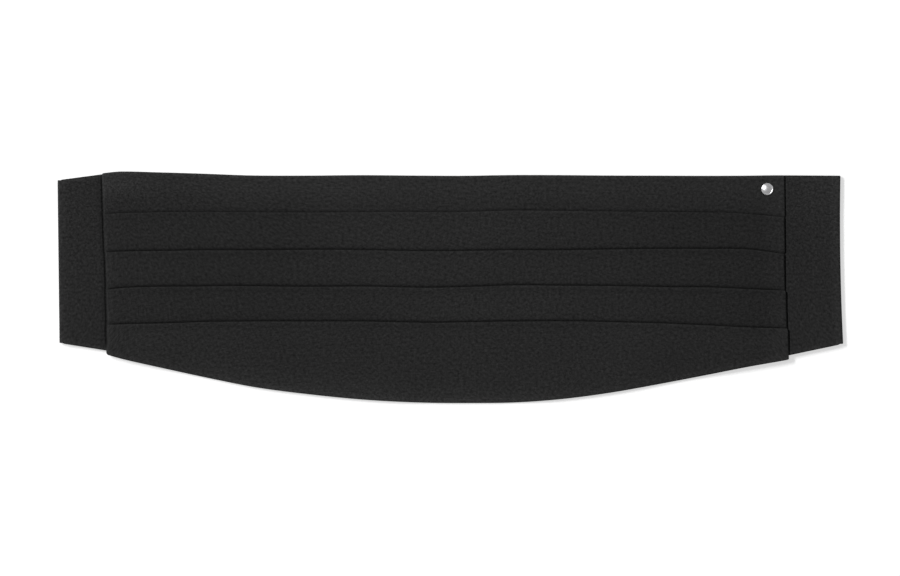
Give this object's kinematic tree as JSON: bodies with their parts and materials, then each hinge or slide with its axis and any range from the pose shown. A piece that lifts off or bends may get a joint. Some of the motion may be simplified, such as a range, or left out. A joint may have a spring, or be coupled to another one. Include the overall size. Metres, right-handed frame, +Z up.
{
  "type": "cummerbund",
  "caption": "Flat-lying pleated waist sash of black wool: a curved, pleated front between plain side wings whose tails fasten behind, worn with evening dress.",
  "frame": {"origin": "on the surface that it lies on, under the middle of its outline seen from above", "axes": "+Z up from the surface and out of the front, +X to the right of the front along its length, +Y to the waist edge"},
  "size_m": [0.4412, 0.13, 0.0079],
  "materials": {
    "front_wool": "matte fine wool weave, near black",
    "wing_wool": "matte fine wool weave, near black, two plies sewn as one",
    "clasp_metal": "black enamel, satin",
    "stud_metal": "polished silver-coloured metal"
  },
  "bodies": {
    "root": {"pleated_front": "front_wool", "left_wing": "wing_wool", "right_wing": "wing_wool", "back_clasp": "clasp_metal", "stud": "stud_metal"}
  },
  "joints": []
}
